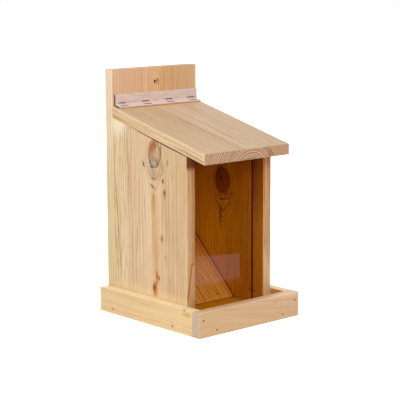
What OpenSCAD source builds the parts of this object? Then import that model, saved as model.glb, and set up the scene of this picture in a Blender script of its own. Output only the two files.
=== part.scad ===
// Wooden hopper bird feeder, in millimetres. +Z is up and the open front faces -Y.
// The origin is the middle of the footprint, at the level the feeder stands on.

/* [Boards] */
// Thickness of every planed board
board_t = 18; // [15:1:22]
// Width of the house over its side panels
house_w = 190; // [160:1:240]
// Depth of the side panels, from the back board to their front edges
panel_d = 190; // [180:1:230]
// How far the back board stands above the roof
back_rise = 62; // [50:1:110]
// Width of the small chamfer that eases the edges of every board
ease = 0.8; // [0.4:0.1:1.5]

/* [Roof] */
// Height of the upper rear edge of the roof
roof_rear_z = 354; // [320:1:420]
// Slope of the roof, in degrees
roof_slope = 14; // [8:1:20]
// Length of the roof board down its slope
roof_len = 240; // [225:1:290]
// Gap between the rear end of the roof and the back board
roof_back_gap = 0.5; // [0.3:0.1:1.5]
// Gap between the underside of the roof and the side panels
roof_seat_gap = 0.3; // [0.2:0.1:0.6]

/* [Tray] */
// Height of the rails round the tray
rail_h = 42; // [34:1:60]
// Clear trough between the side panels and the front rail
trough_w = 32; // [24:1:60]

/* [Seed ramp] */
// Distance from the back board to the foot of the ramp
ramp_run = 120; // [90:1:130]
// Slope of the ramp, in degrees
ramp_angle = 45; // [38:1:50]
// Gap between the ramp and each side panel
ramp_side_gap = 0.5; // [0.3:0.1:1.5]

/* [Pane] */
// Thickness of the clear pane
pane_t = 3; // [2:0.5:4]
// Extra width of the groove over the pane
groove_play = 1; // [0.6:0.1:1.6]
// Depth of the grooves in the side panels
groove_depth = 6; // [4:0.5:8]
// Distance from the middle of a groove to the front edge of its panel
groove_setback = 27; // [18:1:40]
// Gap between each edge of the pane and the bottom of its groove
pane_edge_gap = 1; // [0.5:0.1:2]
// Height of the seed gap between the floor and the pane
seed_gap = 20; // [14:1:30]
// Free height between the top of the pane and the roof
pane_headroom = 4.4; // [2:0.1:8]
// Gap between the pane and the staples it rests on
pane_rest_gap = 0.3; // [0.2:0.1:0.5]

/* [Hinge strip] */
// Thickness of the flexible strip
strip_t = 2; // [1.5:0.1:3]
// Height of the strip on the back board, above the roof
strip_up = 20; // [15:1:30]
// Reach of the strip down the roof
strip_out = 13.5; // [12:0.5:30]
// Radius of the strip's visible face at its bend
strip_bend = 2; // [1.5:0.1:3]
// Gap between the strip and the roof, and between the strip and the roof's staples
strip_gap = 0.3; // [0.2:0.1:0.5]
// How far the strip stops short of the left side of the house
strip_left_short = 6; // [1:0.5:10]
// How far the strip stops short of the right side of the house
strip_right_short = 0.5; // [0.3:0.1:10]

/* [Staples] */
// Width of a staple over its legs
staple_w = 16; // [10:0.5:18]
// Width of the flat staple wire
wire_w = 1.2; // [0.8:0.1:1.6]
// Thickness of the flat staple wire
wire_t = 0.8; // [0.5:0.1:1]
// Length of the staple legs under the crown
staple_leg = 10; // [8:0.5:12]
// Number of staples in each row along the strip
staple_count = 4; // [3:1:5]
// Distance from each end of the strip to the middle of the last staple in a row
staple_inset = 14.5; // [12:0.5:30]
// Height of the upper staple row above the rear edge of the roof
upper_row_up = 5; // [5:0.5:11]
// Distance of the lower staple row down the roof
lower_row_out = 8.5; // [7.5:0.5:10]

/* [Nails] */
// Diameter of the nail shanks
nail_d = 2; // [1.6:0.1:2.4]
// Diameter of the nail heads
nail_head_d = 3.6; // [3:0.1:4.4]
// Thickness of the nail heads
nail_head_t = 0.8; // [0.5:0.1:1.2]
// How deep the nail heads are set under the surface
nail_sink = 0.4; // [0.2:0.1:0.8]
// How far a nail holds in the second board
nail_hold = 22; // [14:1:26]
// How far a ramp nail holds in the floor or in the end of the ramp
ramp_nail_hold = 11; // [8:1:12]
// Height of the nails in the ends of the front rail
end_nail_z = 29; // [24:1:31]
// Distance of the lower front rail nails from each side of the house
front_nail_inset = 20; // [10:1:60]
// Distance from the rear of the house to the rear nails of the side rails
rail_nail_rear = 35; // [30:1:50]
// Distance from the front edge of the side panels to the front nails of the side rails
rail_nail_front = 17; // [6:1:40]
// Distance from the rear of the house to the rear nails under the side panels
under_nail_rear = 62; // [48:1:80]
// Distance from the front edge of the side panels to the front nails under them
under_nail_front = 50; // [42:1:70]
// Distance of the ramp nails from the side panels
ramp_nail_inset = 33; // [15:1:50]
// Distance of the lower ramp nails up the slope from the foot of the ramp
ramp_nail_up = 12; // [8:1:13]
// Distance of the upper ramp nails below the upper edge of the ramp
ramp_back_drop = 19; // [16:1:20]
// Distance of the nails between the back board and the floor from each side of the house
back_floor_nail_inset = 45; // [36:1:70]
// Number of nails up each side of the back board
back_nail_count = 3; // [2:1:5]
// Distance of the end ones of those nails from the ends of a side panel
back_nail_end = 45; // [36:1:70]

/* [Hanging hole] */
// Diameter of the hanging hole
hang_d = 5; // [4:0.5:8]
// Distance from the top of the back board to the middle of the hanging hole
hang_drop = 25; // [12:1:26]

/* [Hidden] */

// Fineness of the round holes, nails and bends
round_fn = 32;
// Overshoot of a cut past the surface it opens
over = 1;

// Planes across the feeder, from the middle outwards
panel_out_x = house_w/2;
panel_in_x = panel_out_x - board_t;
panel_mid_x = panel_out_x - board_t/2;
rail_out_x = panel_out_x + board_t;
rail_mid_x = panel_out_x + board_t/2;
groove_x = panel_in_x + groove_depth;

// Planes from the rear of the feeder to its front
depth = board_t + panel_d + trough_w + board_t;
rear_y = depth/2;
face_y = rear_y - board_t;
panel_front_y = face_y - panel_d;
rail_in_y = panel_front_y - trough_w;
front_y = rail_in_y - board_t;
groove_y = panel_front_y + groove_setback;
groove_w = pane_t + groove_play;

// Levels
floor_z = board_t;
mid_floor_z = board_t/2;
back_h = roof_rear_z + back_rise;
pane_z = floor_z + seed_gap;

// Roof board: its upper and lower planes over the depth
roof_drop = board_t/cos(roof_slope);
function roof_top(y) = roof_rear_z - (face_y - y)*tan(roof_slope);
function roof_under(y) = roof_top(y) - roof_drop;
roof_rear_y = face_y - roof_back_gap;
roof_front_y = face_y - roof_len*cos(roof_slope);

// Tops of the side panels and of the pane under the roof
function panel_top(y) = roof_under(y) - roof_seat_gap/cos(roof_slope);
pane_front_y = groove_y - pane_t/2;
pane_top_z = roof_under(pane_front_y) - pane_headroom;
pane_w = 2*(groove_x - pane_edge_gap);

// Seed ramp: its foot on the floor and the thickness of its cut ends
ramp_foot_y = face_y - ramp_run;
ramp_top_z = floor_z + ramp_run*tan(ramp_angle);
ramp_end_h = board_t/cos(ramp_angle);
ramp_foot_w = board_t/sin(ramp_angle);

// Hinge strip: the middle of its bend, which turns it from upright to the slope of the roof
bend_reach = strip_bend + strip_t;
bend_y = face_y - bend_reach;
bend_z = roof_top(bend_y) + (bend_reach + strip_gap)/cos(roof_slope);
bend_turn = 90 - roof_slope;
// Flats that make up the bend
bend_steps = 12;
function bend_arc(r) = [for (i = [0:bend_steps])
    [bend_y + r*cos(bend_turn*i/bend_steps), bend_z - r*sin(bend_turn*i/bend_steps)]];
strip_left_x = -panel_out_x + strip_left_short;
strip_right_x = panel_out_x - strip_right_short;

// Directions that turn a nail or a staple from +Z to the outside of a surface
TO_FRONT = [90, 0, 0];
TO_REAR = [-90, 0, 0];
TO_LEFT = [0, -90, 0];
TO_RIGHT = [0, 90, 0];
TO_BELOW = [180, 0, 0];
TO_RAMP = [ramp_angle, 0, 0];
TO_ROOF = [roof_slope, 0, 0];

// Nails, each as the place of its head, the way it faces, the wood it crosses and its hold
sides = [-1, 1];
front_end_set = [for (s = sides) [[s*rail_mid_x, front_y, end_nail_z], TO_FRONT, board_t, nail_hold]];
front_nail_x = panel_out_x - front_nail_inset;
front_floor_set =
    [for (s = sides) [[s*front_nail_x, front_y, mid_floor_z], TO_FRONT, board_t, nail_hold]];
rail_nail_ys = [rear_y - rail_nail_rear, panel_front_y + rail_nail_front];
left_rail_set = [for (y = rail_nail_ys) [[-rail_out_x, y, mid_floor_z], TO_LEFT, board_t, nail_hold]];
right_rail_set = [for (y = rail_nail_ys) [[rail_out_x, y, mid_floor_z], TO_RIGHT, board_t, nail_hold]];
under_nail_ys = [rear_y - under_nail_rear, panel_front_y + under_nail_front];
under_panel_set = [for (s = sides, y = under_nail_ys)
    [[s*panel_mid_x, y, 0], TO_BELOW, board_t, nail_hold]];
back_nail_low = floor_z + back_nail_end;
back_nail_step = (panel_top(face_y) - back_nail_end - back_nail_low)/(back_nail_count - 1);
back_panel_set = [for (s = sides, i = [0:back_nail_count - 1])
    [[s*panel_mid_x, rear_y, back_nail_low + i*back_nail_step], TO_REAR, board_t, nail_hold]];
back_floor_nail_x = panel_out_x - back_floor_nail_inset;
back_floor_set = [for (s = sides)
    [[s*back_floor_nail_x, rear_y, mid_floor_z], TO_REAR, board_t, nail_hold]];
ramp_nail_x = panel_in_x - ramp_nail_inset;
ramp_foot_set = [for (s = sides)
    [[s*ramp_nail_x, ramp_foot_y + ramp_nail_up*cos(ramp_angle), floor_z + ramp_nail_up*sin(ramp_angle)],
     TO_RAMP, ramp_nail_up*tan(ramp_angle), ramp_nail_hold]];
ramp_back_z = ramp_top_z - ramp_back_drop;
ramp_back_set = [for (s = sides)
    [[s*ramp_nail_x, rear_y, ramp_back_z], TO_REAR, board_t, ramp_nail_hold]];

// Staples, each as the place of its crown's underside and the way it faces
row_start_x = strip_left_x + staple_inset;
row_step = (strip_right_x - staple_inset - row_start_x)/(staple_count - 1);
row_xs = [for (i = [0:staple_count - 1]) row_start_x + i*row_step];
upper_row = [for (x = row_xs) [[x, face_y - strip_t, roof_rear_z + upper_row_up], TO_FRONT]];
lower_y = face_y - lower_row_out*cos(roof_slope);
lower_lift = strip_t + 2*strip_gap;
lower_row = [for (x = row_xs)
    [[x, lower_y - lower_lift*sin(roof_slope), roof_top(lower_y) + lower_lift*cos(roof_slope)], TO_ROOF]];

// Colours
PALE = "burlywood";
WARM = "tan";
STEEL = "dimgray";
CLEAR = [0.93, 0.97, 1, 0.35];

// An upright section, drawn in depth and height, run from one side to another
module across(x0, x1) {
    translate([x0, 0, 0])
        rotate([90, 0, 90])
            linear_extrude(x1 - x0)
                children();
}

// The four corners of an upright square section
function square_section(y0, y1, z0, z1) = [[y0, z0], [y1, z0], [y1, z1], [y0, z1]];

// The outline with each corner cut back by the chamfer
function eased(points) = [for (i = [0:len(points) - 1], step = [-1, 1])
    let (corner = points[i], next = points[(i + step + len(points)) % len(points)])
        corner + ease*(next - corner)/norm(next - corner)];

// A board with eased edges, from the corners of its section, run from one side to another
module plank(points, x0, x1) {
    difference() {
        across(x0, x1)
            polygon(eased(points));
        for (i = [0:len(points) - 1], x = [x0, x1]) {
            start = points[i];
            edge = points[(i + 1) % len(points)] - start;
            translate([x, start[0], start[1]])
                rotate([atan2(edge[1], edge[0]), 0, 0])
                    translate([0, norm(edge)/2, 0])
                        rotate([0, 45, 0])
                            cube([sqrt(2)*ease, norm(edge) + 2*over, sqrt(2)*ease], center = true);
        }
    }
}

// One nail, with the surface it is driven into at z = 0
module nail(through, hold) {
    top = -nail_sink;
    tip = -through - hold;
    translate([0, 0, top - nail_head_t])
        cylinder(d = nail_head_d, h = nail_head_t, $fn = round_fn);
    translate([0, 0, tip])
        cylinder(d = nail_d, h = top - nail_head_t - tip, $fn = round_fn);
}

// The hole that one nail has made, open at the surface
module nail_hole(through, hold) {
    seat = nail_sink + nail_head_t;
    translate([0, 0, -seat])
        cylinder(d = nail_head_d, h = seat + over, $fn = round_fn);
    translate([0, 0, -through - hold])
        cylinder(d = nail_d, h = through + hold, $fn = round_fn);
}

module nails(set) {
    for (n = set)
        translate(n[0])
            rotate(n[1])
                nail(n[2], n[3]);
}

// A board with the holes of its nails in it
module nailed(set) {
    difference() {
        children();
        for (n = set)
            translate(n[0])
                rotate(n[1])
                    nail_hole(n[2], n[3]);
    }
}

// The two legs of a staple from a level down, with room round them
module staple_legs(room, top) {
    leg_x = staple_w/2 - wire_t/2;
    for (s = sides)
        translate([s*leg_x - wire_t/2 - room, -wire_w/2 - room, -staple_leg])
            cube([wire_t + 2*room, wire_w + 2*room, staple_leg + top]);
}

// One staple, with the underside of its crown at z = 0
module staple() {
    staple_legs(0, 0);
    translate([-staple_w/2, -wire_w/2, 0])
        cube([staple_w, wire_w, wire_t]);
}

module staples(set) {
    for (n = set)
        translate(n[0])
            rotate(n[1])
                staple();
}

// A board or a strip with the slots of its staples in it
module stapled(set, room) {
    difference() {
        children();
        for (n = set)
            translate(n[0])
                rotate(n[1])
                    staple_legs(room, over);
    }
}

// Back board, which carries the house and hangs on a wall by its hole
module back_board() {
    color(PALE)
        nailed(concat(back_panel_set, back_floor_set, ramp_back_set))
            stapled(upper_row, 0)
                difference() {
                    plank(square_section(face_y, rear_y, 0, back_h), -panel_out_x, panel_out_x);
                    translate([0, face_y - over, back_h - hang_drop])
                        rotate([-90, 0, 0])
                            cylinder(d = hang_d, h = board_t + 2*over, $fn = round_fn);
                }
}

// The staple that one pane edge rests on, across the groove of the panel on side s
module pane_staple(s) {
    translate([s*panel_in_x, groove_y, pane_z - pane_rest_gap - wire_w/2])
        rotate([0, -s*90, 0])
            rotate([0, 0, 90])
                children();
}

// Side panel on side s, with a sloped top and a groove for the pane
module side_panel(s) {
    inner = s*panel_in_x;
    outer = s*panel_out_x;
    groove_end = s*groove_x;
    nailed(concat(under_panel_set, back_panel_set))
        difference() {
            plank([[face_y, floor_z], [panel_front_y, floor_z],
                   [panel_front_y, panel_top(panel_front_y)], [face_y, panel_top(face_y)]],
                  min(inner, outer), max(inner, outer));
            translate([min(inner - s*over, groove_end), groove_y - groove_w/2, floor_z - over])
                cube([groove_depth + over, groove_w, roof_rear_z]);
            pane_staple(s)
                staple_legs(0, over);
        }
}

module left_side_panel() {
    color(PALE)
        side_panel(-1);
}

module right_side_panel() {
    color(PALE)
        side_panel(1);
}

// Floor of the house and of the tray
module floor_board() {
    color(WARM)
        nailed(concat(front_floor_set, left_rail_set, right_rail_set, under_panel_set,
                      back_floor_set, ramp_foot_set))
            plank(square_section(rail_in_y, face_y, 0, floor_z), -panel_out_x, panel_out_x);
}

// Sloped board that slides the seed forward to the gap under the pane
module ramp_board() {
    color(WARM)
        nailed(concat(ramp_foot_set, ramp_back_set))
            plank([[ramp_foot_y, floor_z], [ramp_foot_y + ramp_foot_w, floor_z],
                   [face_y, ramp_top_z - ramp_end_h], [face_y, ramp_top_z]],
                  -panel_in_x + ramp_side_gap, panel_in_x - ramp_side_gap);
}

// Side rail of the tray on side s, from the rear of the house to the front rail
module side_rail(s) {
    inner = s*panel_out_x;
    outer = s*rail_out_x;
    nailed(concat(front_end_set, s < 0 ? left_rail_set : right_rail_set))
        plank(square_section(rail_in_y, rear_y, 0, rail_h), min(inner, outer), max(inner, outer));
}

module left_rail() {
    color(PALE)
        side_rail(-1);
}

module right_rail() {
    color(PALE)
        side_rail(1);
}

// Front rail, nailed over the ends of the side rails
module front_rail() {
    color(PALE)
        nailed(concat(front_end_set, front_floor_set))
            plank(square_section(front_y, rail_in_y, 0, rail_h), -rail_out_x, rail_out_x);
}

// Roof board, cut plumb at both ends
module roof_board() {
    color(WARM)
        stapled(lower_row, 0)
            plank([[roof_rear_y, roof_under(roof_rear_y)], [roof_front_y, roof_under(roof_front_y)],
                   [roof_front_y, roof_top(roof_front_y)], [roof_rear_y, roof_top(roof_rear_y)]],
                  -panel_out_x, panel_out_x);
}

// Clear pane that slides down both grooves
module front_pane() {
    color(CLEAR)
        across(-pane_w/2, pane_w/2)
            polygon(square_section(pane_front_y, pane_front_y + pane_t, pane_z, pane_top_z));
}

// Section of the strip: down the back board, round the bend and down the roof
module strip_section() {
    flap_start = (face_y - bend_y)*cos(roof_slope) - (bend_z - roof_rear_z)*sin(roof_slope);
    flap = (strip_out - flap_start)*[-cos(roof_slope), -sin(roof_slope)];
    wood_side = bend_arc(bend_reach);
    open_side = bend_arc(strip_bend);
    top_z = roof_rear_z + strip_up;
    polygon(concat([[face_y, top_z]], wood_side, [wood_side[bend_steps] + flap],
                   [for (i = [0:bend_steps + 1])
                       i == 0 ? open_side[bend_steps] + flap : open_side[bend_steps + 1 - i]],
                   [[face_y - strip_t, top_z]]));
}

// Flexible strip that hinges the roof on the back board
module hinge_strip() {
    color("rosybrown")
        stapled(upper_row, 0)
            stapled(lower_row, strip_gap)
                across(strip_left_x, strip_right_x)
                    strip_section();
}

module strip_board_staples() {
    color(STEEL)
        staples(upper_row);
}

module strip_roof_staples() {
    color(STEEL)
        staples(lower_row);
}

module left_pane_staple() {
    color(STEEL)
        pane_staple(-1)
            staple();
}

module right_pane_staple() {
    color(STEEL)
        pane_staple(1)
            staple();
}

module front_rail_end_nails() {
    color(STEEL)
        nails(front_end_set);
}

module front_rail_floor_nails() {
    color(STEEL)
        nails(front_floor_set);
}

module left_rail_nails() {
    color(STEEL)
        nails(left_rail_set);
}

module right_rail_nails() {
    color(STEEL)
        nails(right_rail_set);
}

module under_panel_nails() {
    color(STEEL)
        nails(under_panel_set);
}

module back_panel_nails() {
    color(STEEL)
        nails(back_panel_set);
}

module back_floor_nails() {
    color(STEEL)
        nails(back_floor_set);
}

module ramp_foot_nails() {
    color(STEEL)
        nails(ramp_foot_set);
}

module ramp_back_nails() {
    color(STEEL)
        nails(ramp_back_set);
}

back_board();
left_side_panel();
right_side_panel();
floor_board();
ramp_board();
left_rail();
right_rail();
front_rail();
roof_board();
front_pane();
hinge_strip();
strip_board_staples();
strip_roof_staples();
left_pane_staple();
right_pane_staple();
front_rail_end_nails();
front_rail_floor_nails();
left_rail_nails();
right_rail_nails();
under_panel_nails();
back_panel_nails();
back_floor_nails();
ramp_foot_nails();
ramp_back_nails();
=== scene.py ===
"""A wooden hopper bird feeder: pine boards, a clear pane in two grooves and a roof on a flexible strip."""
import math

import bmesh
import bpy
from mathutils import Matrix, Vector


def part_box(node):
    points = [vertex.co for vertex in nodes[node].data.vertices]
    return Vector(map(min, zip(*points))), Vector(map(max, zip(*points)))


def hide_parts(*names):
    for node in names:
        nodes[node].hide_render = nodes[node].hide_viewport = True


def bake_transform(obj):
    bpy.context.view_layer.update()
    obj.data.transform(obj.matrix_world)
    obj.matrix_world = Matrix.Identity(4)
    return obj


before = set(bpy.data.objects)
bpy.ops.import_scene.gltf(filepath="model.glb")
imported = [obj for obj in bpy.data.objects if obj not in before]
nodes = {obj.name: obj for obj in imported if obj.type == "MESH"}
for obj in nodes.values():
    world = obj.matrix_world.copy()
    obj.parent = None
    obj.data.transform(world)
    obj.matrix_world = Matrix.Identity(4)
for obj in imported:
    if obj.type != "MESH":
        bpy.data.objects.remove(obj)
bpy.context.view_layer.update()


# Back board. A full-height planed pine board that carries everything and hangs on a wall by its hole.
# It is solid wood, as every board is: its rings run right through, lines on its faces and arcs on its ends.
# It is nailed to the panels, the floor and the ramp. All places on boards are millimetres of the feeder.
class Finish:
    """One material, whose colour is built up step by step from node outputs and numbers."""

    def __init__(self, name):
        self.material = bpy.data.materials.new(name)
        self.material.use_nodes = True
        self.tree = self.material.node_tree
        self.shader = self.tree.nodes["Principled BSDF"]

    def feed(self, socket, value):
        if isinstance(value, bpy.types.NodeSocket):
            self.tree.links.new(value, socket)
        elif value is not None:
            socket.default_value = value

    def node(self, kind, *inputs, **settings):
        """A new node with its settings made and its first inputs set or linked in order."""
        made = self.tree.nodes.new(kind)
        for setting, value in settings.items():
            setattr(made, setting, value)
        for socket, value in zip(made.inputs, inputs):
            self.feed(socket, value)
        return made

    def math(self, operation, *inputs):
        return self.node("ShaderNodeMath", *inputs, operation=operation).outputs[0]

    def dot(self, vector, direction):
        return self.node("ShaderNodeVectorMath", vector, direction, operation="DOT_PRODUCT").outputs["Value"]

    def noise(self, x, y, z, detail=2.0, roughness=0.5):
        made = self.node("ShaderNodeTexNoise", self.node("ShaderNodeCombineXYZ", x, y, z).outputs[0])
        made.inputs["Scale"].default_value = 1.0
        made.inputs["Detail"].default_value = detail
        made.inputs["Roughness"].default_value = roughness
        return made.outputs[0]

    def fade(self, value, start, end, low=0.0, high=1.0):
        """Goes smoothly from low at start to high at end."""
        if start > end:
            start, end, low, high = end, start, high, low
        return self.node("ShaderNodeMapRange", value, start, end, low, high,
                         interpolation_type="SMOOTHSTEP").outputs[0]

    def blend(self, share, below, above, blend_type="MIX"):
        made = self.node("ShaderNodeMix", data_type="RGBA", blend_type=blend_type)
        below_socket, above_socket = (socket for socket in made.inputs if socket.type == "RGBA")
        self.feed(made.inputs[0], share)
        self.feed(below_socket, below)
        self.feed(above_socket, above)
        return next(socket for socket in made.outputs if socket.type == "RGBA")

    def ramp(self, share, stops):
        """A colour ramp's node, whose second output is the fourth number of each stop."""
        made = self.node("ShaderNodeValToRGB", share)
        elements = made.color_ramp.elements
        while len(elements) < len(stops):
            elements.new(0.5)
        for element, (place, colour) in zip(elements, stops):
            element.position = place
            element.color = colour
        return made

    def wear(self, *node_names):
        """Puts the material on CAD nodes."""
        for node_name in node_names:
            nodes[node_name].data.materials.clear()
            nodes[node_name].data.materials.append(self.material)


def paint(red, green, blue, fourth=1.0):
    """A colour given in the 0 to 255 steps of a screen."""
    shares = [step / 255 for step in (red, green, blue)]
    light = [share / 12.92 if share <= 0.04045 else ((share + 0.055) / 1.055) ** 2.4 for share in shares]
    return (*light, fourth)


UP = Vector((0, 0, 1))
TO_REAR = Vector((0, 1, 0))
TO_RIGHT = Vector((1, 0, 0))
MM = 1000
CREAM = paint(242, 216, 184)
END_PALE = paint(226, 196, 166)
END_LINE = paint(186, 140, 106)


def pine(name, along, across, bands, heart, ring=4.0, line=paint(182, 130, 84), wander=3.0,
         start=(0, 0, 0), knots=(), marks=(), tints=(), ends=(END_PALE, END_LINE), end_ring=1.0,
         line_from=0.35, moods=(0.25, 1.5), clouds=0.35, marked_side=None):
    """Solid pine, with its grain along one direction and its width across it.
    bands gives its colours over the width, each with the strength of its lines; heart is the tree's middle,
    as width and depth, and ring the yearly growth. marks are stains, painted shadows and painted light, and
    tints are parts of the board that are darker or a little paler than the rest, most of them painted shade
    or highlights."""
    wood = Finish(name)
    coordinates = wood.node("ShaderNodeTexCoord")
    in_frame = coordinates.outputs["Object"]
    from_start = wood.node("ShaderNodeVectorMath", in_frame, start, operation="SUBTRACT").outputs[0]
    length, width, depth = (wood.dot(from_start, direction * MM)
                            for direction in (along, across, along.cross(across)))

    def streaks(tall, wide, detail=2.0, roughness=0.5):
        """Uneven streaks of a height along the grain and a width across it."""
        return wood.noise(wood.math("DIVIDE", length, tall), wood.math("DIVIDE", width, wide),
                          wood.math("DIVIDE", depth, wide), detail, roughness)

    def bow(share, reach):
        """The share as a number round 0."""
        return wood.math("MULTIPLY", wood.math("SUBTRACT", share, 0.5), reach)

    def far(one, other):
        """How far a place is that lies one way and the other way from here."""
        return wood.math("SQRT", wood.math("ADD", wood.math("MULTIPLY", one, one),
                                           wood.math("MULTIPLY", other, other)))

    # Slow waves bend the rings to one side and the other
    wave = wood.math("ADD", bow(streaks(140, 50), 2 * wander), bow(streaks(24, 9, 1.0), 0.5 * wander))
    out = wood.math("ADD", wood.math("SUBTRACT", width, heart[0]), wave)
    down = wood.math("ADD", wood.math("SUBTRACT", depth, heart[1]), wave)
    radius = far(out, down)

    # Rings bulge round each knot, and crowd below it
    knot_places = []
    crowding = 1.0
    for knot in knots:
        up = wood.math("DIVIDE", wood.math("SUBTRACT", length, knot["at"][0]), knot["tall"] / 2)
        side = wood.math("DIVIDE", wood.math("SUBTRACT", width, knot["at"][1]), knot["wide"] / 2)
        away = far(up, side)
        knot_places.append((up, side, away))
        radius = wood.math("SUBTRACT", radius, wood.fade(away, 0.7, knot["reach"], knot["bulge"], 0.0))
        crowding = wood.math("MULTIPLY", crowding, wood.fade(away, knot["reach"], 1.2, 1.0, knot["crowding"]))

    # Pale early wood darkens to a sharp line of late wood in every ring, in some years more than in others
    good_and_bad_years = bow(wood.noise(wood.math("DIVIDE", radius, 13), 0.0, 0.0), ring * 3)
    years = wood.math("DIVIDE", wood.math("ADD", radius, good_and_bad_years), ring)
    season = wood.math("FRACT", years)
    late = wood.math("MULTIPLY", wood.fade(season, line_from, 0.86), wood.fade(season, 1.0, 0.9))
    mood = wood.noise(wood.math("MULTIPLY", years, 0.45), wood.math("DIVIDE", length, 260), 0.0, detail=1.0)
    fibre = streaks(60, 1.1, 3.0, 0.65)
    hair = streaks(34, 1.5, 1.0)
    patch = streaks(120, 14, 3.0)

    low, high = bands[0][0], bands[-1][0]
    over_width = wood.node("ShaderNodeMapRange", width, low, high, 0.0, 1.0).outputs[0]
    band = wood.ramp(over_width, [((at - low) / (high - low), shade) for at, shade in bands])
    strength = wood.math("MULTIPLY", band.outputs["Alpha"], crowding)
    colour = wood.blend(wood.fade(patch, 0.42, 0.72, 0.0, clouds), band.outputs["Color"], CREAM)
    mood_share = wood.fade(mood, 0.38, 0.62, *moods)
    late_share = wood.math("MULTIPLY", wood.math("MULTIPLY", late, strength), mood_share)
    colour = wood.blend(late_share, colour, line)
    colour = wood.blend(wood.fade(fibre, 0.42, 0.78, 0.0, 0.3), colour, line)
    colour = wood.blend(wood.fade(fibre, 0.5, 0.25, 0.0, 0.2), colour, CREAM)
    hair_share = wood.math("MULTIPLY", wood.fade(hair, 0.6, 0.7), wood.math("MULTIPLY", strength, 0.8))
    colour = wood.blend(hair_share, colour, line)

    # Cut ends soak up light and show every ring
    end_share = wood.fade(wood.math("ABSOLUTE", wood.dot(coordinates.outputs["Normal"], along)), 0.8, 0.95)
    end_grit = wood.noise(wood.math("DIVIDE", length, 1.2), wood.math("DIVIDE", width, 1.2),
                          wood.math("DIVIDE", depth, 1.2), detail=2.0)
    grit_share = wood.fade(end_grit, 0.4, 0.8, 0.0, 0.4)
    end_line = wood.math("ADD", wood.math("MULTIPLY", late, end_ring), grit_share)
    colour = wood.blend(end_share, colour, wood.blend(end_line, *ends))

    ragged = bow(streaks(8, 2.2), 1.0)
    for knot, (up, side, away) in zip(knots, knot_places):
        away = wood.math("ADD", away, wood.math("MULTIPLY", ragged, 0.25))
        # Dark lines hang below the knot like a skirt
        skirt = wood.fade(wood.math("SINE", wood.math("MULTIPLY", away, knot["skirt_lines"])), 0.2, 1.0)
        near_knot = wood.fade(away, knot["skirt_reach"] + 0.2, knot["skirt_reach"])
        skirt = wood.math("MULTIPLY", skirt, wood.math("MULTIPLY", wood.fade(up, -0.3, -0.9), near_knot))
        colour = wood.blend(wood.math("MULTIPLY", skirt, knot["skirt"]), colour, knot["rim"])
        circles = wood.fade(wood.math("SINE", wood.math("MULTIPLY", away, knot["circles"])), -0.6, 1.0, 0.0,
                            knot["circle_share"])
        body = wood.blend(circles, knot["body"], knot["rim"])
        rim_share = wood.math("MAXIMUM", wood.fade(up, 0.2, -0.75, knot["rim_all"], knot["rim_foot"]),
                              wood.fade(side, 0.1, -0.8, 0.0, knot["rim_side"]))
        rim_share = wood.math("MULTIPLY", rim_share, wood.fade(away, knot["rim_from"], 0.96))
        body = wood.blend(rim_share, body, knot["rim"])
        colour = wood.blend(wood.fade(away, 1 + knot["soft"], 1 - knot["soft"]), colour, body)

    def within(direction, low_at, high_at, soft):
        """1 between two places of the frame, and 0 a little way beyond them."""
        over = wood.dot(in_frame, direction * MM)
        share = 1.0
        if low_at is not None:
            share = wood.math("MULTIPLY", share, wood.fade(over, low_at - soft, low_at))
        if high_at is not None:
            share = wood.math("MULTIPLY", share, wood.fade(over, high_at + soft, high_at))
        return share

    # Resin spots, streaks, stains, painted shadows and painted light, each with its place, height, width,
    # colour, strength and lean
    unmarked = colour
    rough_edge = wood.math("MULTIPLY", ragged, 0.9)
    on_board = wood.node("ShaderNodeCombineXYZ", length, width, 0.0).outputs[0]
    for at, off, tall, wide, shade, share, *lean in marks:
        slope = lean[0] if lean else 0.0
        stretch = math.hypot(1, slope)
        own_place = wood.node("ShaderNodeMapping", on_board, (at, off, 0), (0, 0, math.atan(slope)),
                              (tall / 2 * stretch, wide / 2 / stretch, 1), vector_type="TEXTURE").outputs[0]
        away = wood.node("ShaderNodeVectorMath", own_place, operation="LENGTH").outputs["Value"]
        away = wood.math("ADD", away, rough_edge)
        colour = wood.blend(wood.fade(away, 1.15, 0.4, 0.0, share), colour, shade)
    if marked_side:
        colour = wood.blend(within(*marked_side), unmarked, colour)

    # Each tint has a colour to multiply by and its limits: a direction, a lowest and highest place, how soft
    for shade, *limits in tints:
        share = 1.0
        for limit in limits:
            share = wood.math("MULTIPLY", share, within(*limit))
        colour = wood.blend(share, colour, shade, "MULTIPLY")

    wood.feed(wood.shader.inputs["Base Color"], colour)
    wood.feed(wood.shader.inputs["Roughness"], wood.fade(late, 0.0, 1.0, 0.66, 0.52))
    wood.shader.inputs["Specular IOR Level"].default_value = 0.25
    bump = wood.node("ShaderNodeBump")
    bump.inputs["Strength"].default_value = 0.15
    bump.inputs["Distance"].default_value = 0.0004
    wood.feed(bump.inputs["Height"], wood.math("ADD", wood.math("MULTIPLY", late, 0.6), fibre))
    wood.feed(wood.shader.inputs["Normal"], bump.outputs[0])
    return wood


# Painted shade: an amber multiplied onto the inner faces, for the warm, bounced shade inside the house
PAINTED_SHADE_AMBER = paint(230, 170, 16)
# Painted shade: the wall of the hanging hole is painted dark for the shade inside it
HOLE_PAINTED_SHADE = paint(104, 42, 6)
house_side = 95
seed_side = 77
board_front = 111
floor_top = 18
seed_top = 345
hole_up = 391
hole_radius = 3
hole_wall = [(TO_REAR, board_front + 0.4, 128, 0.2), (UP, hole_up - hole_radius, hole_up + hole_radius, 0.2),
             (TO_RIGHT, -hole_radius, hole_radius, 0.2)]
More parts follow.
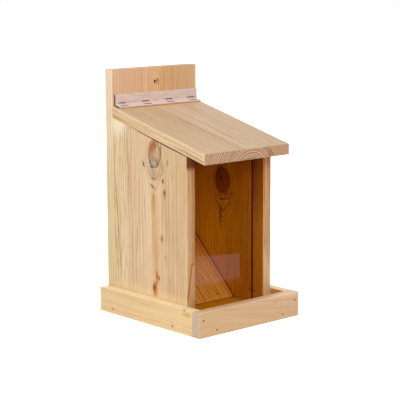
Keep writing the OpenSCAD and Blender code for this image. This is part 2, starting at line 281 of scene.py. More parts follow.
# Every mark has a place along and across the board, a length, a width, a colour, a strength and maybe a lean
wide_rings = [(250, 21, 460, 3, paint(188, 134, 86), 0.8), (250, -68, 460, 2.4, paint(200, 148, 110), 0.7),
              (250, -28, 460, 2.4, paint(196, 144, 100), 0.7), (250, 52, 460, 3, paint(196, 146, 102), 0.5)]
# Painted shading round the hanging hole: orange marks to its right stand for the hole's lit inner wall
painted_hole_wall = [(hole_up + 2, 5.8, 8, 6, paint(176, 104, 40), 1.0, 0.2),
             (hole_up - 4, 3.4, 6, 3, paint(160, 98, 44), 0.9),
             (hole_up - 3, 8.6, 8, 3, paint(178, 112, 52), 0.8, 0.2),
             (hole_up - 13, 13, 9, 2.4, paint(196, 140, 84), 0.7, -0.4)]
back_pine = pine(
    "back board pine", UP, TO_RIGHT, heart=(-260, -90), ring=4.0, wander=1.5, line=paint(190, 134, 90),
    line_from=0.5, clouds=0.15, marked_side=(TO_REAR, None, 118, 3),
    ends=(paint(180, 156, 136), paint(140, 110, 86)),
    bands=[(-95, paint(238, 216, 186, 0.2)), (-94, paint(222, 182, 148, 0.35)),
           (-60, paint(222, 178, 144, 0.4)), (-30, paint(220, 175, 134, 0.45)),
           (-22, paint(226, 192, 146, 0.3)), (-16, paint(222, 174, 136, 0.4)),
           (2, paint(222, 180, 136, 0.35)), (24, paint(216, 170, 122, 0.45)),
           (60, paint(210, 166, 122, 0.5)), (88, paint(216, 174, 134, 0.4)),
           (94, paint(224, 188, 148, 0.3)), (95, paint(236, 212, 182, 0.3))],
    marks=[*wide_rings, *painted_hole_wall],
    tints=[(HOLE_PAINTED_SHADE, *hole_wall),
           (paint(237, 235, 212), (TO_RIGHT, None, -house_side + 0.3, 0.2), (UP, None, 200, 150)),
           # Painted shade: amber on the seed side of the board, for the warm shade inside the house
           (PAINTED_SHADE_AMBER, (TO_REAR, None, board_front + 0.3, 0.3), (TO_RIGHT, -seed_side, seed_side, 0.6),
            (UP, floor_top, seed_top, 3))])
back_pine.wear("back_board")


# Side panels. Two boards with a sloped top and a groove for the pane, nailed through the back and the floor.
# The left one has its large knot outside, the right one inside, and both carry painted shade on the seed
# side: amber, for the warm shade inside the house.
# Painted shade in the pane's groove
GROOVE_PAINTED_SHADE = paint(116, 34, 14)
# Painted shade on the seed side before the pane
BEFORE_PANE_PAINTED_SHADE = paint(222, 220, 255)
EDGE_PAINTED_SHADE = paint(237, 227, 213)
groove_bed = 83.6
groove_front = -54
groove_rear = -50
panel_front = -79
front_edge = (TO_REAR, None, panel_front + 0.3, 0.4)
before_pane = (TO_REAR, None, groove_front, 0.4)
in_groove = (TO_REAR, groove_front, groove_rear, 0.2)
left_seed_side = (TO_RIGHT, -seed_side - 0.2, None, 0.3)
left_groove_bed = (TO_RIGHT, -groove_bed, None, 0.2)
right_seed_side = (TO_RIGHT, None, seed_side + 0.2, 0.3)
right_groove_bed = (TO_RIGHT, None, groove_bed, 0.2)

# The left panel's large knot, brown and flamed above, grey below, with a dark line round its left foot
left_knot = dict(at=(284.5, 1.8), tall=47, wide=34, bulge=11, reach=2.9, crowding=1.2,
                 body=paint(194, 158, 124), rim=paint(110, 84, 62), rim_all=0.2, rim_foot=0.9, rim_side=0.9,
                 rim_from=0.8, circles=26, circle_share=0.15, soft=0.08, skirt=0.45, skirt_lines=38,
                 skirt_reach=1.8)
# The pale band along the foot is painted light bounced up from the rail; the other mark is the pale top rear
# corner
pale_corner_and_bounce_light = [(334, 96, 70, 56, paint(243, 225, 194), 0.85), (42, 15, 34, 300, paint(236, 212, 158), 0.55)]
knot_grey = [(271, 3, 24, 24, paint(160, 142, 116), 0.85), (268, 3, 9, 11, paint(186, 172, 144), 0.8),
             (262, 8, 6, 10, paint(92, 74, 56), 0.8), (270, -7, 14, 2.6, paint(84, 64, 46), 0.95),
             (276, -3, 9, 2.4, paint(100, 78, 58), 0.8, 0.4), (279, 6, 4, 9, paint(130, 96, 70), 0.6),
             (268, 12, 14, 2.4, paint(92, 72, 52), 0.9)]
knot_flame = [(293, 3.5, 34, 24, paint(190, 140, 94), 0.75, -0.2),
              (296, 5, 24, 16, paint(172, 106, 48), 0.8, -0.5),
              (300, 0, 14, 9, paint(158, 92, 36), 0.8, 0.6),
              (294, 9.5, 14, 6, paint(156, 84, 34), 0.8, -0.6),
              (285, 12, 26, 5, paint(170, 106, 64), 0.85, -0.12),
              (280, 6, 16, 7, paint(176, 140, 106), 0.6, -0.1),
              (289, -6, 26, 7, paint(206, 168, 132), 0.8, -0.1),
              (281, -1, 12, 8, paint(196, 164, 134), 0.7)]
knot_skirt = [(252, 3, 15, 18, paint(176, 148, 124), 0.75), (243, 5, 5, 13, paint(136, 106, 86), 0.75),
              (249, -14, 26, 1.8, paint(150, 106, 70), 0.85, -0.55),
              (292, -15, 26, 2, paint(84, 64, 46), 0.7, -0.04),
              (272, -17, 20, 1.6, paint(130, 98, 70), 0.7, 0.1)]
resin_spots = [(265, 29, 13, 4.5, paint(120, 74, 28), 0.95, 0.3),
               (272, -32, 13, 5, paint(170, 130, 76), 0.9), (262, -19, 14, 2.4, paint(150, 108, 62), 0.8),
               (229.5, 6, 9, 7.5, paint(146, 88, 48), 1.0, 1.3), (241, -20, 10, 6, paint(132, 82, 30), 1.0),
               (222, -24, 14, 6, paint(150, 92, 22), 1.0), (222, -24, 8, 3.4, paint(100, 52, 8), 0.7),
               (214, -24, 9, 5, paint(186, 136, 72), 0.8), (144.5, -17, 17, 9, paint(190, 134, 76), 0.95),
               (144, -16, 9, 5, paint(164, 104, 52), 0.8), (113.8, -26, 12, 5, paint(176, 148, 100), 0.7)]
long_streak = [(200, 4.5, 50, 11, paint(200, 150, 86), 0.9, 0.03),
               (211, 3, 18, 5, paint(168, 122, 60), 0.8),
               (160, 2.5, 110, 6, paint(208, 158, 106), 0.75, 0.03),
               (110, -1, 100, 7.5, paint(206, 156, 98), 0.8, 0.03),
               (150, 6.5, 150, 1.8, paint(180, 132, 84), 0.85, 0.04),
               (150, -4, 150, 1.6, paint(186, 138, 92), 0.7, 0.05)]
resin_pocket = [(79, -3.5, 22, 9, paint(186, 118, 42), 1.0, 0.1), (77, -3, 10, 4, paint(140, 82, 24), 0.9),
                (77, -9, 11, 5, paint(176, 112, 40), 1.0), (77, -9, 5, 2.4, paint(130, 80, 26), 0.8),
                (68, -2, 18, 7, paint(194, 130, 56), 0.9, -0.3), (57, 2.6, 27, 14, paint(186, 112, 34), 1.0),
                (57, 3.6, 18, 8, paint(138, 74, 16), 0.95), (50, 0, 16, 14, paint(206, 146, 76), 0.6)]
rear_rings = [(298, 78, 60, 2.4, paint(184, 132, 92), 0.8, 0.02),
              (290, 72.5, 80, 2.2, paint(184, 132, 90), 0.8, 0.03),
              (252, 69, 110, 3, paint(190, 138, 94), 0.75, 0.03),
              (260, 75, 120, 9, paint(214, 174, 132), 0.45, 0.04),
              (282, 62, 60, 2, paint(190, 142, 104), 0.75, 0.02),
              (178, 94, 190, 2, paint(184, 148, 96), 0.6, 0.05),
              (230, 65, 90, 2, paint(190, 144, 100), 0.6, 0.03),
              (210, 70, 100, 4, paint(200, 152, 106), 0.6, 0.03),
              (155, 98.5, 215, 2.2, paint(160, 118, 66), 0.85, 0.08),
              (216, 104, 130, 1.8, paint(176, 140, 88), 0.7, 0.06),
              (90, 101, 120, 2, paint(168, 128, 78), 0.8, 0.03),
              (90, 91, 110, 1.8, paint(176, 138, 86), 0.7, 0.02)]
fine_rings = [(110, 61, 110, 1.6, paint(190, 148, 100), 0.7, 0.0),
              (140, 47, 50, 2.4, paint(182, 136, 96), 0.8),
              (190, 26.5, 60, 2, paint(178, 134, 92), 0.8, 0.05),
              (120, 32, 130, 1.6, paint(196, 152, 110), 0.6),
              (200, 55, 160, 1.6, paint(200, 156, 112), 0.5, 0.04)]
# Painted shadow along the seam under the roof
painted_roof_shadow = [(300, -28, 36, 10, paint(112, 58, 30), 1.0, 4.0),
                   (316, 36, 14, 5, paint(170, 114, 76), 0.8, 4.0)]
left_pine = pine(
    "left panel pine", UP, TO_REAR, heart=(3, 40), ring=4.2, wander=3.0, line=paint(180, 130, 84),
    line_from=0.5, moods=(0.4, 1.1), clouds=0.25, marked_side=(TO_RIGHT, None, -88, 4), knots=[left_knot],
    bands=[(-79, paint(214, 184, 142, 0.5)), (-30, paint(210, 178, 138, 0.55)),
           (-14, paint(220, 188, 148, 0.45)), (2, paint(216, 180, 138, 0.3)),
           (16, paint(226, 196, 160, 0.3)), (56, paint(220, 190, 152, 0.5)),
           (66, paint(218, 188, 150, 0.6)), (76, paint(230, 208, 168, 0.75)),
           (92, paint(230, 210, 166, 0.95)), (111, paint(228, 204, 162, 0.8))],
    marks=[*pale_corner_and_bounce_light, *knot_grey, *knot_flame, *knot_skirt, *resin_spots, *long_streak, *resin_pocket,
           *rear_rings, *fine_rings, *painted_roof_shadow],
    # Painted shade: amber on the seed side, dark in the groove, and darker on the front edge under the roof's
    # overhang
    tints=[(PAINTED_SHADE_AMBER, left_seed_side), (GROOVE_PAINTED_SHADE, left_groove_bed, in_groove), (EDGE_PAINTED_SHADE, front_edge),
           # Painted shadow of the roof at the top of the front edge
           (paint(152, 104, 55), front_edge, (UP, 272, None, 12)),
           # A painted highlight along the front corner
           (paint(272, 272, 274), (TO_REAR, None, -78.2, 0.2), (TO_RIGHT, None, -94.2, 0.2)),
           (paint(255, 242, 232), front_edge, (UP, None, 104, 12)),
           (paint(236, 214, 194), front_edge, (TO_RIGHT, -84.5, None, 0.9), (UP, 108, None, 0.9)),
           (paint(226, 188, 150), front_edge, (UP, None, 112, 1.2),
            (TO_RIGHT - UP * 0.167, -103.4, -101.4, 1.2))])
left_pine.wear("left_side_panel")

# The right panel's dark knot, with a stem of bark and a few level cracks below it
right_knot = dict(at=(220, 22.5), tall=48, wide=39, bulge=22, reach=4.2, crowding=1.3,
                  body=paint(172, 112, 84), rim=paint(96, 52, 34), rim_all=0.6, rim_foot=0.6, rim_side=0.6,
                  rim_from=0.55, circles=24, circle_share=0.6, soft=0.2, skirt=0.3, skirt_lines=34,
                  skirt_reach=1.9)
knot_middle = [(219, 23, 66, 56, paint(140, 84, 56), 0.45), (225, 25, 9, 6, paint(40, 16, 10), 0.95)]
bark_stem = [(160, 28, 46, 7, paint(120, 62, 34), 0.75, -0.05),
             (186, 25, 3.5, 20, paint(90, 40, 22), 0.9, 0.05),
             (174, 33, 26, 2.4, paint(130, 70, 40), 0.7, 0.35),
             (174, 22, 26, 2.4, paint(130, 70, 40), 0.7, -0.3)]
level_cracks = [(197, 5, 3, 34, paint(130, 70, 40), 0.7, 0.2),
                (189, 10, 3, 20, paint(120, 62, 36), 0.75, 0.3),
                (180, 4, 3, 26, paint(140, 78, 44), 0.5, 0.3), (192, 36, 3, 14, paint(130, 70, 40), 0.6)]
right_pine = pine(
    "right panel pine", UP, TO_REAR, heart=(22, -36), ring=4.0, wander=3.0, line=paint(174, 108, 56),
    moods=(0.4, 1.2), marked_side=(TO_RIGHT, None, 80, 4), knots=[right_knot],
    bands=[(-79, paint(226, 192, 148, 0.5)), (-77, paint(228, 188, 142, 0.5)),
           # Paler towards the rear: painted light, for the rear of the seed side, which gets too little light
           (15, paint(226, 190, 144, 0.55)), (48, paint(250, 216, 164, 0.55)),
           (111, paint(250, 216, 164, 0.5))],
    marks=[*knot_middle, *bark_stem, *level_cracks],
    tints=[(PAINTED_SHADE_AMBER, right_seed_side), (BEFORE_PANE_PAINTED_SHADE, right_seed_side, before_pane),
           (GROOVE_PAINTED_SHADE, right_groove_bed, in_groove),
           # More painted shade at the top before the pane and just behind the pane
           (paint(206, 190, 120), right_seed_side, before_pane, (UP, 235, None, 90)),
           (paint(226, 222, 150), right_seed_side, (TO_REAR, groove_rear, -34, 40)),
           (paint(240, 224, 150), right_seed_side, (TO_REAR, groove_rear, -20, 30), (UP, 225, None, 90)),
           # Painted light: the top of the seed side is made paler
           (paint(270, 268, 258), right_seed_side, (UP, 225, None, 60)),
           # Painted shade of the roof's overhang on the upper front edge
           (paint(237, 218, 203), front_edge, (TO_RIGHT, 79, None, 1.5), (UP, 130, None, 60)),
           (paint(254, 250, 242), front_edge, (TO_RIGHT, None, 88, 4)),
           # Painted shadow of the roof at the very top of the front edge
           (paint(250, 240, 222), front_edge, (UP, 256, None, 8)),
           (paint(246, 226, 202), front_edge, (TO_RIGHT, 92.5, None, 1), (UP, 110, None, 60)),
           (paint(244, 216, 186), front_edge, (TO_RIGHT, None, 79.5, 1), (UP, 210, None, 30))])
right_pine.wear("right_side_panel")


# Floor board. One planed board under the house and the tray, with painted shade on top: amber, for the warm
# shade between the boards.
# It is nailed up into the two panels, and the back board and the three rails are nailed to its edges.
painted_shade_top = (UP, floor_top - 0.6, None, 0.5)
floor_pine = pine(
    "floor pine", TO_REAR, TO_RIGHT, heart=(-30, -60), ring=4.2, line=paint(180, 124, 70),
    bands=[(-95, paint(236, 196, 140, 0.6)), (95, paint(236, 196, 140, 0.6))],
    # Painted shade: amber over the top, darker towards the right panel, and painted shadow lines along the
    # ramp's foot and along the right panel
    tints=[(paint(252, 204, 24), painted_shade_top),
           (paint(226, 214, 200), painted_shade_top, (TO_RIGHT, 76, 80, 22)),
           (paint(150, 104, 80), painted_shade_top, (TO_REAR, -10.4, None, 1.2)),
           (paint(170, 124, 90), painted_shade_top, (TO_RIGHT, 76.2, None, 1.2), (TO_REAR, panel_front, None, 0.5))])
floor_pine.wear("floor_board")


# Seed ramp. A planed board that leans at 45 degrees inside the house and slides the seed to the front.
# It is nailed into the floor at its foot and through the back board at its head.
up_the_ramp = Vector((0, 1, 1)).normalized()
ramp_pine = pine(
    "ramp pine", up_the_ramp, TO_RIGHT, heart=(-300, -60), ring=5.4, wander=2.0, line=paint(166, 82, 34),
    line_from=0.5, moods=(0.75, 1.15), clouds=0.15,
    bands=[(-77, paint(246, 198, 118, 0.75)), (77, paint(246, 198, 118, 0.75))],
    # Painted shade: amber over the ramp, darker towards its top and the right panel, with a painted shadow
    # line against the panel
    tints=[(paint(255, 220, 138), (UP, 0, None, 1)), (paint(222, 202, 180), (UP, 120, None, 66)),
           (paint(236, 226, 214), (TO_RIGHT, 72, None, 30)),
           (paint(120, 44, 24), (TO_RIGHT, seed_side - 2.4, None, 1))])
ramp_pine.wear("ramp_board")


# Tray rails. Three planed boards on edge that keep the seed on the floor, nailed to its edges from outside.
# The front one is also nailed over the ends of the other two, so its own ends show their rings.
for side, rail_name in ((-1, "left_rail"), (1, "right_rail")):
    rail_pine = pine(
        rail_name + " pine", TO_REAR, UP, heart=(64, -side * 40), ring=4.0, line=paint(212, 168, 112),
        clouds=0.15, marked_side=(TO_RIGHT * side, 112, None, 1),
        bands=[(0, paint(230, 200, 150, 0.3)), (41, paint(230, 202, 154, 0.3)),
               # The top face is paler: a painted highlight
               (42, paint(244, 220, 176, 0.3))],
        marks=[(-98, 34, 28, 9, paint(216, 172, 92), 0.9), (-92, 41, 8, 4, paint(176, 118, 66), 0.9),
               (5, 32, 44, 5, paint(220, 184, 112), 0.7), (-62, 13, 10, 9, paint(214, 178, 124), 0.5)],
        # Painted shade on the rail's inner face
        tints=[(paint(214, 168, 110), (TO_RIGHT * side, None, house_side + 0.6, 0.6))])
    rail_pine.wear(rail_name)
slant = Vector((1, 0, -0.13)).normalized()
front_pine = pine(
    "front rail pine", slant, TO_REAR.cross(slant) * -1, heart=(64, 26), ring=4.4, line=paint(194, 142, 98),
    wander=2.0, line_from=0.5, moods=(0.5, 1.0), clouds=0.12,
    bands=[(0, paint(214, 178, 134, 0.1)), (28, paint(214, 178, 136, 0.12)), (36, paint(214, 178, 138, 0.65)),
           (56, paint(234, 202, 164, 0.75))],
    ends=(paint(205, 180, 156), paint(190, 162, 140)),
    tints=[(paint(214, 192, 172), (TO_REAR, -112, None, 0.5), (TO_RIGHT, None, -112.6, 0.3),
            (UP, None, 34, 3)),
           # A painted highlight along the top front edge
           (paint(272, 272, 276), (UP, 41.3, None, 0.2), (TO_REAR, None, -127, 2))])
front_pine.wear("front_rail")


# Roof board. One planed board that slopes to the front, cut plumb at both ends.
# It lies on the tops of the panels, and only the stapled strip holds it, so that it turns up for filling.
roof_slope = math.radians(14)
down_the_roof = Vector((0, -math.cos(roof_slope), -math.sin(roof_slope)))
roof_up = Vector((0, -math.sin(roof_slope), math.cos(roof_slope)))
roof_rear_y = 0.111
roof_rear_z = 0.354
left_roof_side = (TO_RIGHT, None, -house_side + 0.4, 0.3)
# A tan tone beside the strip, and the strip's painted shadow on the roof
strip_tone_and_painted_shadow = [(12, 0, 44, 200, paint(210, 162, 114), 0.5), (14.5, 0, 5, 206, paint(186, 132, 84), 0.7)]
dark_streaks = [(140, -14, 215, 5, paint(172, 136, 102), 0.75), (140, 13, 215, 6, paint(172, 136, 104), 0.7)]
roof_rings = [(150, at, 200, 1.8, paint(176, 138, 104), 0.75)
              for at in (-38, -30, -24, -18, -10, 14, 24, 30, 35)]
front_end_marks = [(243.5, 78, 9, 46, paint(196, 146, 116), 0.85),
                   (242.3, 45, 5.5, 3, paint(124, 70, 34), 0.95, 3.9),
                   (242.3, 39, 5.5, 2, paint(140, 88, 54), 0.8, 3.9),
                   (242.3, 50.5, 5.5, 2, paint(140, 88, 54), 0.8, 3.9)]
roof_pine = pine(
    "roof pine", down_the_roof, TO_RIGHT, heart=(8, -44), ring=3.2, start=(0, roof_rear_y, roof_rear_z),
    wander=1.5, line=paint(174, 134, 98), clouds=0.15,
    bands=[(-95, paint(227, 200, 161, 0.7)), (-94, paint(200, 170, 134, 0.3)),
           (-14, paint(198, 168, 134, 0.5)), (0, paint(206, 178, 146, 0.4)),
           (30, paint(208, 180, 150, 0.4)), (45, paint(198, 170, 138, 0.5)),
           (94, paint(202, 174, 146, 0.4)), (95, paint(226, 198, 156, 0.6))],
    marks=[*strip_tone_and_painted_shadow, *dark_streaks, *roof_rings, *front_end_marks],
    ends=(paint(220, 184, 150), paint(134, 80, 48)), end_ring=1.15,
    tints=[(paint(247, 237, 220), left_roof_side, (roof_up, None, 306, 2.5), (TO_REAR, 60, None, 60)),
           (paint(240, 226, 206), left_roof_side, (roof_up, 308.5, 309.6, 0.8), (TO_REAR, None, 60, 60))])
roof_pine.wear("roof_board")


# Clear pane. A flat sheet of acrylic, sawn to size, that holds the seed back and shows how much is left.
# It slides down the two grooves and rests on the two staples, so that seed runs out under it.
ACRYLIC_IOR = 1.49
ACRYLIC_POLISH = 0.02
MIRRORED = (0.85, 0.79, 0.96, 1)
SEEN_THROUGH = (0.98, 0.985, 0.98, 1)
pane = Finish("clear acrylic")
towards_eye = pane.math("SUBTRACT", 1.0, pane.node("ShaderNodeNewGeometry").outputs["Backfacing"])
shine = pane.math("MULTIPLY", pane.node("ShaderNodeFresnel", ACRYLIC_IOR).outputs[0], towards_eye)
gloss = pane.node("ShaderNodeBsdfGlossy", MIRRORED, ACRYLIC_POLISH)
clear = pane.node("ShaderNodeBsdfTransparent", SEEN_THROUGH)
window = pane.node("ShaderNodeMixShader", shine, clear.outputs[0], gloss.outputs[0])
pane.feed(pane.tree.nodes["Material Output"].inputs["Surface"], window.outputs[0])
pane.wear("front_pane")


# Hinge strip. A woven band with a dark rubber core, stapled to the back board and to the roof.
# It is cut to size flat and bent once, so it stands up the back board and lies down on the roof.
STRIP_T = 0.002
STRIP_BEND = 0.002
CORE_SHOWS = 0.0015
SWELL = 0.0003
FLAP_REACH = 0.0135
ROOF_GAP = 0.0003
FIRST_STAPLE = -0.0745
STAPLE_STEP = 0.0515
staple_xs = [FIRST_STAPLE + step * STAPLE_STEP for step in range(4)]


def ragged_top(x):
    """How far the cut edge dips below a straight line."""
    return 0.0005 + 0.0004 * math.sin(x * 48 + 1.0) + 0.0002 * math.sin(x * 190)


def between_staples(x, share):
    """The band swells a little between its staples, most at mid-height."""
    nearest = min(abs(x - at) for at in staple_xs)
    return SWELL * min(1.0, nearest / 0.018) * math.sin(math.pi * min(1.0, share * 1.3)) ** 2


def bent_strip(name, face_y, upright_top, bend_centre, bend_radius, thickness, flap_end, left, right):
    """The strip's upright, bend and flap as one sheet of its real thickness, in metres.
    Its UVs are millimetres along the strip and round its section, for the weave."""
    bend_y, bend_z = bend_centre
    turn = math.radians(90) - roof_slope
    rows = []
    upright_rows, bend_rows, flap_rows = 8, 14, 7
    for step in range(upright_rows):
        height = upright_top + (bend_z - upright_top) * step / upright_rows
        rows.append((Vector((0, face_y, height)), Vector((0, -1, 0)), 1 - step / upright_rows))
    for step in range(bend_rows + 1):
        angle = turn * step / bend_rows
        away = Vector((0, -math.cos(angle), math.sin(angle)))
        centre = Vector((0, bend_y, bend_z))
        rows.append((centre - away * (bend_radius + thickness), away, 0))
    foot = rows[-1][0]
    for step in range(1, flap_rows + 1):
        rows.append((foot + down_the_roof * flap_end * step / flap_rows, roof_up, 0))
    columns = 150
    mesh = bmesh.new()
    in_mm = mesh.loops.layers.uv.new("woven")
    faces = {}
    lengths = [0.0]
    for (here, _, _), (there, _, _) in zip(rows, rows[1:]):
        lengths.append(lengths[-1] + (there - here).length)
    for side, shift in (("wood", 0.0), ("open", thickness)):
        grid = []
        for column in range(columns + 1):
            x = left + (right - left) * column / columns
            line = []
            for row, (spot, away, top_share) in enumerate(rows):
                swell = shift and between_staples(x, lengths[row] / lengths[-1])
                lowered = top_share ** 4 * ragged_top(x)
                core = 0 if shift or column else CORE_SHOWS
                line.append(mesh.verts.new(Vector((x - core, 0, -lowered)) + spot + away * (shift + swell)))
            grid.append(line)
        faces[side] = grid
    cloth, rubber = 0, 1
    last_row = len(rows) - 1

    def face(corners, material, uvs=None):
        made = mesh.faces.new(corners)
        made.material_index = material
        made.smooth = material == cloth
        if uvs:
            for loop, uv in zip(made.loops, uvs):
                loop[in_mm].uv = uv

    for column in range(columns):
        run = [(left + (right - left) * (column + ahead) / columns) * MM for ahead in (0, 1)]
        for row in range(last_row):
            down = [lengths[row] * MM, lengths[row + 1] * MM]
            corners = [(0, 0), (0, 1), (1, 1), (1, 0)]
            face([faces["open"][column + i][row + j] for i, j in corners], cloth,
                 [(run[i], down[j]) for i, j in corners])
            face([faces["wood"][column + i][row + j] for i, j in reversed(corners)], rubber)
        for row in (0, last_row):
            corners = [faces["open"][column][row], faces["open"][column + 1][row],
                       faces["wood"][column + 1][row], faces["wood"][column][row]]
            edge_uvs = [(run[0], 0), (run[1], 0), (run[1], 2), (run[0], 2)]
            face(corners if row == 0 else corners[::-1], cloth, edge_uvs)
    for column in (0, columns):
        for row in range(last_row):
            corners = [faces["open"][column][row], faces["wood"][column][row],
                       faces["wood"][column][row + 1], faces["open"][column][row + 1]]
            face(corners if column == 0 else corners[::-1], rubber)
    data = bpy.data.meshes.new(name)
    mesh.normal_update()
    mesh.to_mesh(data)
    mesh.free()
    made = bpy.data.objects.new(name, data)
    bpy.context.scene.collection.objects.link(made)
    return made


strip_low, strip_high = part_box("hinge_strip")
board_face = strip_high.y
bend_outside = STRIP_T + STRIP_BEND
bend_y = board_face - STRIP_T - STRIP_BEND
bend_over_roof = (bend_outside + ROOF_GAP) / math.cos(roof_slope)
bend_z = roof_rear_z - bend_outside * math.tan(roof_slope) + bend_over_roof
flap_start = (board_face - bend_y) * math.cos(roof_slope) - (bend_z - roof_rear_z) * math.sin(roof_slope)
strip = bent_strip("woven_strip", board_face, strip_high.z, (bend_y, bend_z), STRIP_BEND, STRIP_T,
                   FLAP_REACH - flap_start, strip_low.x, strip_high.x)

# The woven face, with a wide check over fine threads, both in millimetres of the strip
CHECK = 4.2
THREAD = 0.84
weave = Finish("woven face")
uv = weave.node("ShaderNodeUVMap", uv_map="woven").outputs[0]
threads = weave.node("ShaderNodeSeparateXYZ", uv)
along_strip = threads.outputs[0]
down_strip = threads.outputs[1]


def ridges(finish, place, pitch):
    return finish.fade(finish.math("SINE", finish.math("MULTIPLY", place, 2 * math.pi / pitch)), -1.0, 1.0)


check_along = weave.math("POWER", ridges(weave, along_strip, CHECK), 3.0)
check_down = weave.math("POWER", ridges(weave, down_strip, CHECK), 3.0)
check = weave.math("MAXIMUM", check_along, weave.math("MULTIPLY", check_down, 0.8))
fine = weave.math("MULTIPLY", ridges(weave, along_strip, THREAD), ridges(weave, down_strip, THREAD))
cloudy = weave.noise(weave.math("DIVIDE", along_strip, 22), weave.math("DIVIDE", down_strip, 9), 0.0,
                     detail=3.0)
face_colour = weave.blend(weave.fade(cloudy, 0.35, 0.7), paint(230, 204, 190), paint(214, 190, 178))
face_colour = weave.blend(weave.math("MULTIPLY", check, 0.4), face_colour, paint(172, 148, 146))
face_colour = weave.blend(weave.math("MULTIPLY", fine, 0.3), face_colour, paint(236, 214, 204))
weave.feed(weave.shader.inputs["Base Color"], face_colour)
weave.shader.inputs["Roughness"].default_value = 0.85
weave.shader.inputs["Sheen Weight"].default_value = 0.1
weave_bump = weave.node("ShaderNodeBump")
weave_bump.inputs["Strength"].default_value = 0.3
weave_bump.inputs["Distance"].default_value = 0.0003
weave.feed(weave_bump.inputs["Height"], weave.math("ADD", fine, check))
weave.feed(weave.shader.inputs["Normal"], weave_bump.outputs[0])

# The dark core, which shows at the strip's left end
CRUMBS_A_METRE = (900, 900, 900)
rubber = Finish("dark rubber")
rubber_place = rubber.node("ShaderNodeTexCoord").outputs["Object"]
in_crumbs = rubber.node("ShaderNodeVectorMath", rubber_place, CRUMBS_A_METRE, operation="MULTIPLY").outputs[0]
crumbs = rubber.noise(*rubber.node("ShaderNodeSeparateXYZ", in_crumbs).outputs, detail=3.0)
rubber.feed(rubber.shader.inputs["Base Color"], rubber.blend(crumbs, paint(70, 44, 26), paint(120, 84, 56)))
rubber.shader.inputs["Roughness"].default_value = 0.7
strip.data.materials.append(weave.material)
strip.data.materials.append(rubber.material)
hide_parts("hinge_strip")
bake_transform(strip)


# Staples and nails. Flat wire staples and small round heads, set just under the surface of the wood.
# The wire is dull, the nail heads have darkened in the damp wood.
SPOTS_A_METRE = (400, 400, 400)


def dull_metal(name, pale, dark, metallic, *node_names):
    """Wire or nail steel, in patches of a paler and a darker colour."""
    steel = Finish(name)
    steel_place = steel.node("ShaderNodeTexCoord").outputs["Object"]
    spot = steel.node("ShaderNodeVectorMath", steel_place, SPOTS_A_METRE, operation="MULTIPLY").outputs[0]
    tarnish = steel.noise(*steel.node("ShaderNodeSeparateXYZ", spot).outputs, detail=4.0, roughness=0.6)
    steel.feed(steel.shader.inputs["Base Color"], steel.blend(steel.fade(tarnish, 0.35, 0.65), pale, dark))
    steel.shader.inputs["Metallic"].default_value = metallic
    steel.feed(steel.shader.inputs["Roughness"], steel.fade(tarnish, 0.3, 0.7, 0.4, 0.65))
    steel.wear(*node_names)


dull_metal("staple wire", paint(112, 102, 94), paint(70, 60, 52), 0.6, "strip_board_staples")
dull_metal("rusty wire", paint(60, 28, 10), paint(38, 16, 6), 0.0, "left_pane_staple", "right_pane_staple",
           "ramp_foot_nails")
# The roof's staples are painted paler: a painted sheen for the light they catch
dull_metal("staple wire with painted sheen", paint(196, 178, 166), paint(150, 134, 122), 0.6, "strip_roof_staples")
other_nails = [node_name for node_name in nodes
               if node_name.endswith("nails") and node_name != "ramp_foot_nails"]
dull_metal("nail heads", paint(136, 80, 22), paint(92, 48, 10), 0.0, *other_nails)


# Studio. A floor of white paper that goes over into a white backdrop, under soft lamps.
# The eye and gloss see the paper and the sky as white, while the light on the feeder stays plain.
def stage_sheet(name, corners, finish):
    """A flat sheet of the studio, which isn't part of the feeder."""
    mesh = bpy.data.meshes.new(name)
    mesh.from_pydata(corners, [], [(0, 1, 2, 3)])
    mesh.materials.append(finish.material)
    sheet = bpy.data.objects.new(name, mesh)
    bpy.context.scene.collection.objects.link(sheet)
    return sheet


def seen_at_all(finish):
    """1 for rays from the eye, straight or by way of gloss or glass, and 0 for light on the feeder."""
    ray = finish.node("ShaderNodeLightPath")
    eye_or_gloss = finish.math("MAXIMUM", ray.outputs["Is Camera Ray"], ray.outputs["Is Glossy Ray"])
    return finish.math("MAXIMUM", eye_or_gloss, ray.outputs["Is Transmission Ray"])


PAPER_GLOW = 0.85
MIRRORED_GLOW = 0.8
FLOOR_REACH = 8.0
WHITE = (1, 1, 1, 1)
paper = Finish("white paper")
paper.shader.inputs["Base Color"].default_value = (0.86, 0.86, 0.86, 1)
paper.shader.inputs["Roughness"].default_value = 0.9
glow = paper.node("ShaderNodeEmission", WHITE, paper.math("MULTIPLY", seen_at_all(paper), PAPER_GLOW))
lit_paper = paper.node("ShaderNodeAddShader", paper.shader.outputs[0], glow.outputs[0])
# Gloss sees it a little dimmer and free of shadows, which keeps the pane's reflection calm
mirrored_glow = paper.node("ShaderNodeEmission", WHITE, MIRRORED_GLOW)
in_gloss = paper.node("ShaderNodeLightPath").outputs["Is Glossy Ray"]
either_paper = paper.node("ShaderNodeMixShader", in_gloss, lit_paper.outputs[0], mirrored_glow.outputs[0])
paper.feed(paper.tree.nodes["Material Output"].inputs["Surface"], either_paper.outputs[0])
floor_corners = [(x * FLOOR_REACH, y * FLOOR_REACH, 0) for x, y in ((-1, -1), (1, -1), (1, 1), (-1, 1))]
stage_sheet("floor", floor_corners, paper)

SKY = 0.4
SEEN_SKY = 1.0
world = bpy.data.worlds.new("studio")
world.use_nodes = True
bpy.context.scene.world = world


class Sky(Finish):
    """The same steps on the world's own nodes."""

    def __init__(self, lit_world):
        self.tree = lit_world.node_tree


sky = Sky(world)
plain_sky = sky.node("ShaderNodeBackground", WHITE, SKY)
seen_sky = sky.node("ShaderNodeBackground", WHITE, SEEN_SKY)
either_sky = sky.node("ShaderNodeMixShader", seen_at_all(sky), plain_sky.outputs[0], seen_sky.outputs[0])
sky.feed(sky.tree.nodes["World Output"].inputs["Surface"], either_sky.outputs[0])


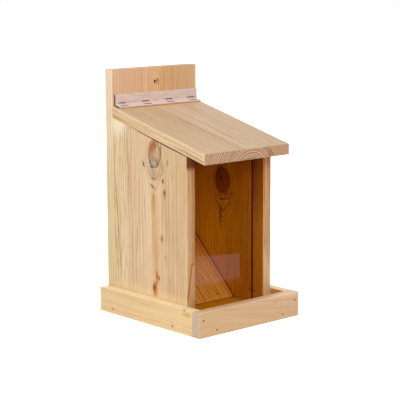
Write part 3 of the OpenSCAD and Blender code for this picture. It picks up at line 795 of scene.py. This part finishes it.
def softbox(name, place, target, size, power, colour=(1, 1, 1)):
    """A square soft lamp that faces a place on the feeder."""
    lamp = bpy.data.lights.new(name, "AREA")
    lamp.size = size
    lamp.energy = power
    lamp.color = colour
    lamp_object = bpy.data.objects.new(name, lamp)
    bpy.context.scene.collection.objects.link(lamp_object)
    lamp_object.location = place
    lamp_object.rotation_euler = (Vector(target) - Vector(place)).to_track_quat("-Z", "Y").to_euler()


softbox("left softbox", (-2.4, -0.6, 1.3), (0, 0, 0.2), 1.2, 14, (0.93, 0.97, 0.98))
softbox("front softbox", (-1.5, -2.1, 1.1), (0, 0, 0.15), 1.0, 30, (1.0, 0.97, 0.94))
softbox("top softbox", (-0.4, -0.4, 2.6), (0, 0, 0.2), 1.2, 21)
softbox("rear softbox", (1.5, 2.2, 1.1), (0, 0, 0.2), 1.2, 16)


# Camera. It stands at the front left, a little above the feeder, at the angle and height of the usual view.
# Its roll is the small lean of that view, and its long lens keeps the upright edges nearly parallel.
azimuth = math.radians(-41.808)
elevation = math.radians(9.755)
roll = math.radians(-0.223)
eye = Vector((-1.520927, -1.705367, 0.589283))
LENS = 123.19
SENSOR_WIDTH = 36
back = Vector((math.sin(azimuth) * math.cos(elevation), -math.cos(azimuth) * math.cos(elevation),
               math.sin(elevation)))
level = UP.cross(back).normalized()
upright = back.cross(level)
right = level * math.cos(roll) + upright * math.sin(roll)
top = upright * math.cos(roll) - level * math.sin(roll)
camera = bpy.data.objects.new("camera", bpy.data.cameras.new("camera"))
camera.data.lens = LENS
camera.data.sensor_width = SENSOR_WIDTH
camera.data.clip_end = 50
camera.matrix_world = Matrix.Translation(eye) @ Matrix((right, top, back)).transposed().to_4x4()
bpy.context.scene.collection.objects.link(camera)
bpy.context.scene.camera = camera
bpy.context.scene.view_settings.view_transform = "Standard"


# Black flags. Two black cloths by the white paper, one upright behind it and one flat beside it.
# Only gloss sees them. They end the paper in the pane's reflection, which then shows as a low pale patch.
FLAG_HEIGHT = 0.5
FLAG_SPARE = 0.8
CLOTH_LIFT = 0.002
patch_corners = [(-0.053, 0.1148), (0.042, 0.1062)]
patch_end = 0.0466
patch_foot = 0.03
patch_top = 0.115
past_patch = 0.07
pane_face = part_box("front_pane")[0].y


def mirrored_to_floor(across_pane, height):
    """Where the floor lies that the eye sees mirrored in a point of the pane."""
    point = Vector((across_pane, pane_face, height))
    ray = point - eye
    ray.y = -ray.y
    return point - ray * (point.z / ray.z)


flag_left, flag_right = (mirrored_to_floor(*corner) for corner in patch_corners)
spare = (flag_right - flag_left).normalized() * FLAG_SPARE
flag_foot = [flag_left - spare, flag_right + spare]
black = Finish("black cloth")
black.shader.inputs["Base Color"].default_value = (0, 0, 0, 1)
black.shader.inputs["Specular IOR Level"].default_value = 0.0
flag_head = [corner + UP * FLAG_HEIGHT for corner in reversed(flag_foot)]
flag = stage_sheet("black flag", [*flag_foot, *flag_head], black)
beside_patch = [(patch_end, patch_foot), (past_patch, patch_foot),
                (past_patch, patch_top), (patch_end, patch_top)]
side_corners = [mirrored_to_floor(across, height) + UP * CLOTH_LIFT for across, height in beside_patch]
side_flag = stage_sheet("black side flag", side_corners, black)
for cloth in (flag, side_flag):
    for ray_kind in ("camera", "diffuse", "shadow", "transmission"):
        setattr(cloth, "visible_" + ray_kind, False)
